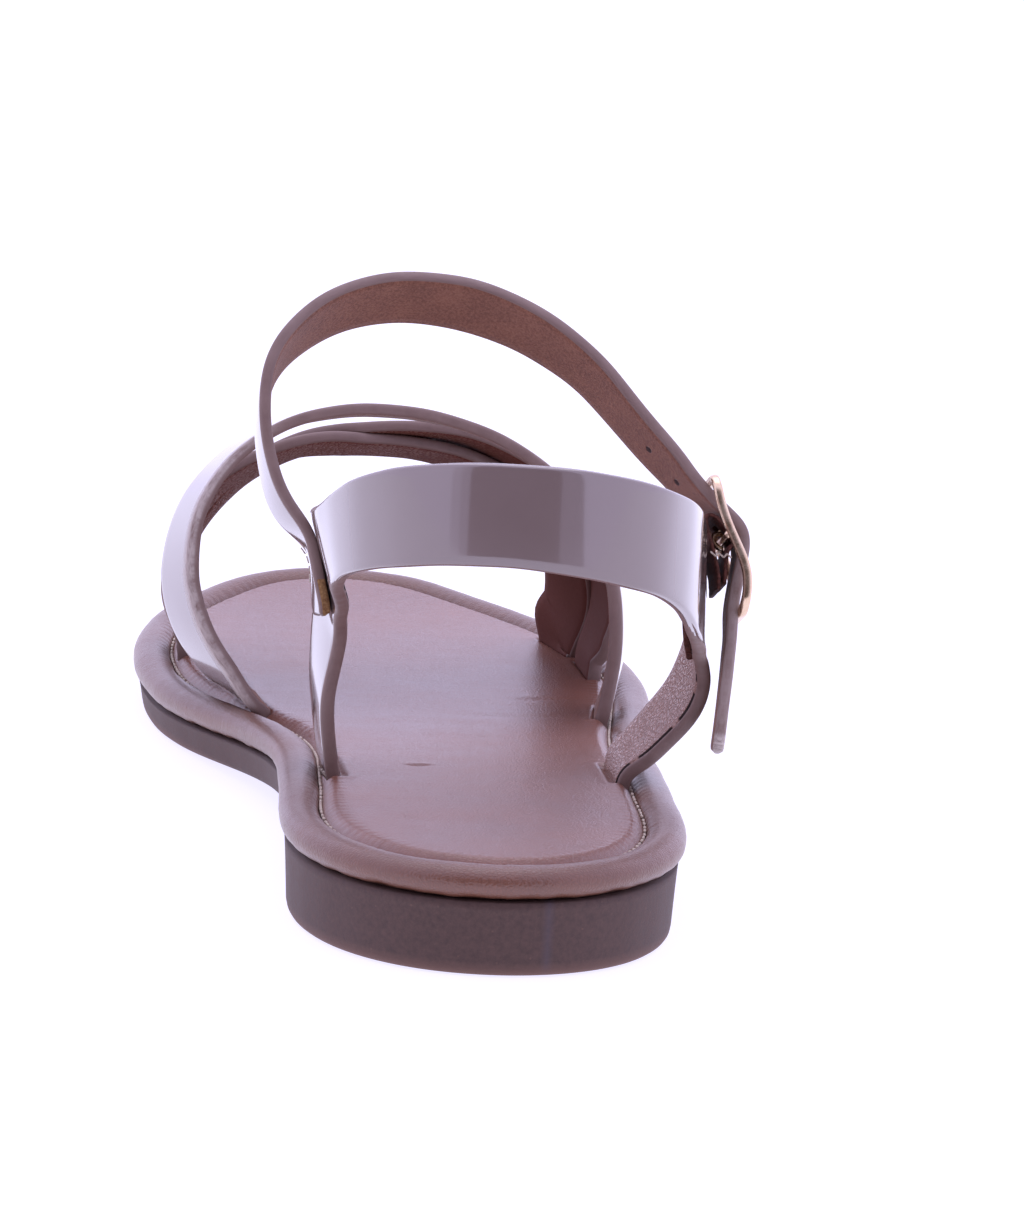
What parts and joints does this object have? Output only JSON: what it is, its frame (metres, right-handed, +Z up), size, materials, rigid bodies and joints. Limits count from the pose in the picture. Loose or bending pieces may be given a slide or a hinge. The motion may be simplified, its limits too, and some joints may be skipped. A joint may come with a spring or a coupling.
{
  "type": "strappy flat sandal",
  "caption": "Right-foot flat sandal with a padded footbed, crossed glossy toe straps, a heel band and a buckled ankle strap.",
  "frame": {"origin": "centre of the bounding box in plan, on the floor plane under the sole", "axes": "+Y from heel to toe, +X towards the lateral side with the buckle, +Z up"},
  "size_m": [0.0874, 0.2486, 0.0935],
  "materials": {
    "sole_rubber": "matt moulded",
    "footbed_leather": "matt grained synthetic leather",
    "patent_strap": "high-gloss patent face, brown lining",
    "gold_metal": "polished pale gold",
    "tab_leather": "napped lining"
  },
  "bodies": {
    "root": {"outsole": "sole_rubber", "footbed": "footbed_leather", "instep_strap": "patent_strap", "crossed_vamp_straps": "patent_strap", "heel_strap": "patent_strap", "ankle_strap": "patent_strap", "buckle_frame": "gold_metal", "buckle_prong": "gold_metal", "buckle_tab": "tab_leather"}
  },
  "joints": []
}
